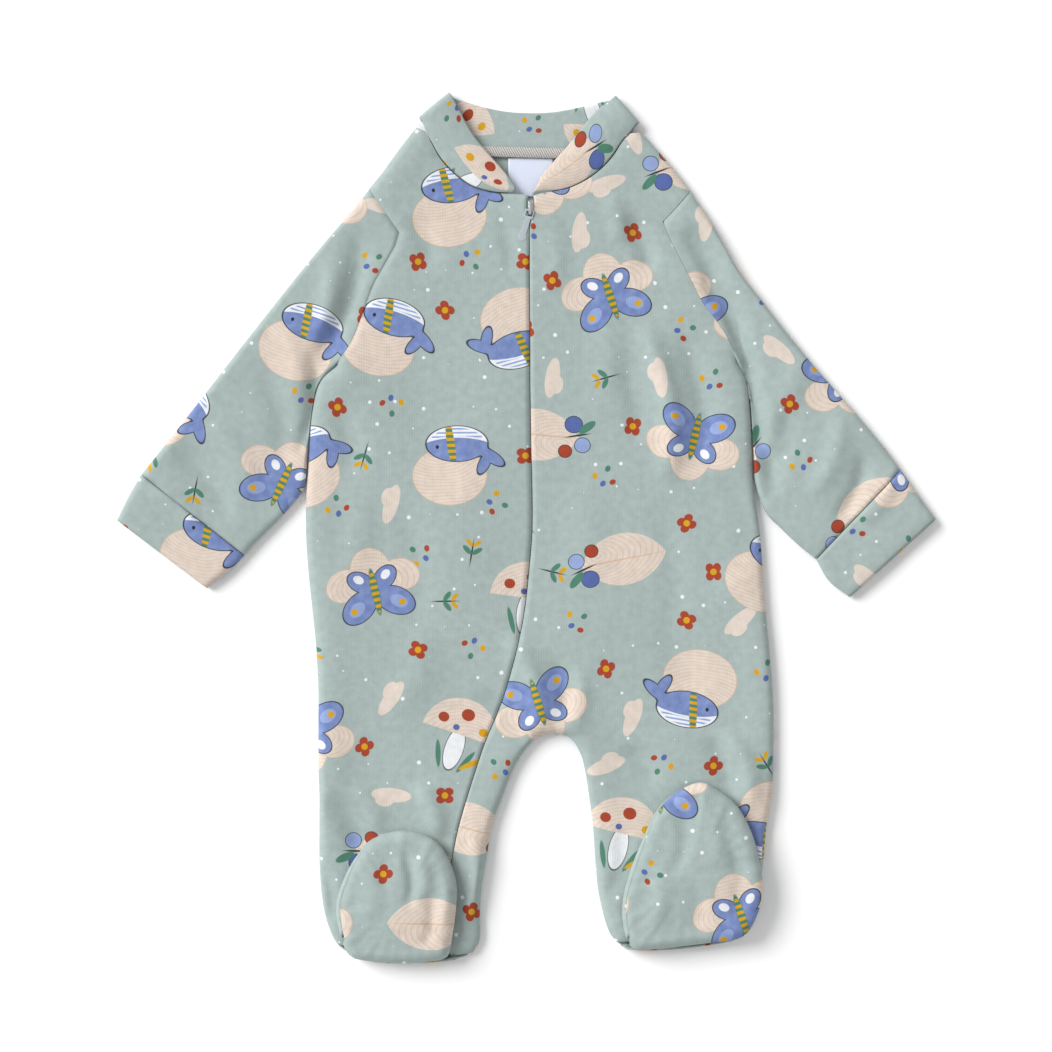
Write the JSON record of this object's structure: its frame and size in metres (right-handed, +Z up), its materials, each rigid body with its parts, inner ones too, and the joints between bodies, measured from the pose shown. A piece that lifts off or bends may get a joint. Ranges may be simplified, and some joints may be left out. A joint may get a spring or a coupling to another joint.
{
  "type": "footed baby sleepsuit",
  "caption": "Long-sleeved footed sleepsuit laid flat on its back, with a folded collar, a zip from neck to ankle, plain cuffs and both feet folded up over the legs",
  "frame": {"origin": "middle of the underside, which lies on the table at z = 0", "axes": "+Y towards the neck, +X towards the wearer's left, +Z up off the table, out of the garment's front"},
  "size_m": [0.4738, 0.5034, 0.0143],
  "materials": {
    "cloth": "sage green cotton interlock, matt, with a scattered nature print",
    "overlock": "overlocked seam in ecru thread",
    "label": "plain pale satin ribbon, soft sheen",
    "zip_tape": "woven sage tape with a nylon coil",
    "slider": "cast metal, satin",
    "pull": "satin grey metal tab"
  },
  "bodies": {
    "garment": {"back": "cloth", "front_right": "cloth", "front_left": "cloth", "sleeve_right": "cloth", "sleeve_left": "cloth", "cuff_right": "cloth", "cuff_left": "cloth", "collar": "cloth", "neck_seam": "overlock", "label": "label", "sole_right": "cloth", "sole_left": "cloth", "foot_upper_right": "cloth", "foot_upper_left": "cloth", "zip_tape": "zip_tape", "zip_slider": "slider"},
    "zip_pull": {"zip_pull": "pull"}
  },
  "joints": [
    {"name": "pull_swing", "type": "hinge", "parent": "garment", "child": "zip_pull", "pos_m": [0.002, 0.1828, 0.0084], "axis": [-0.9563, 0.2924, 0], "range_deg": [0, 120]}
  ]
}
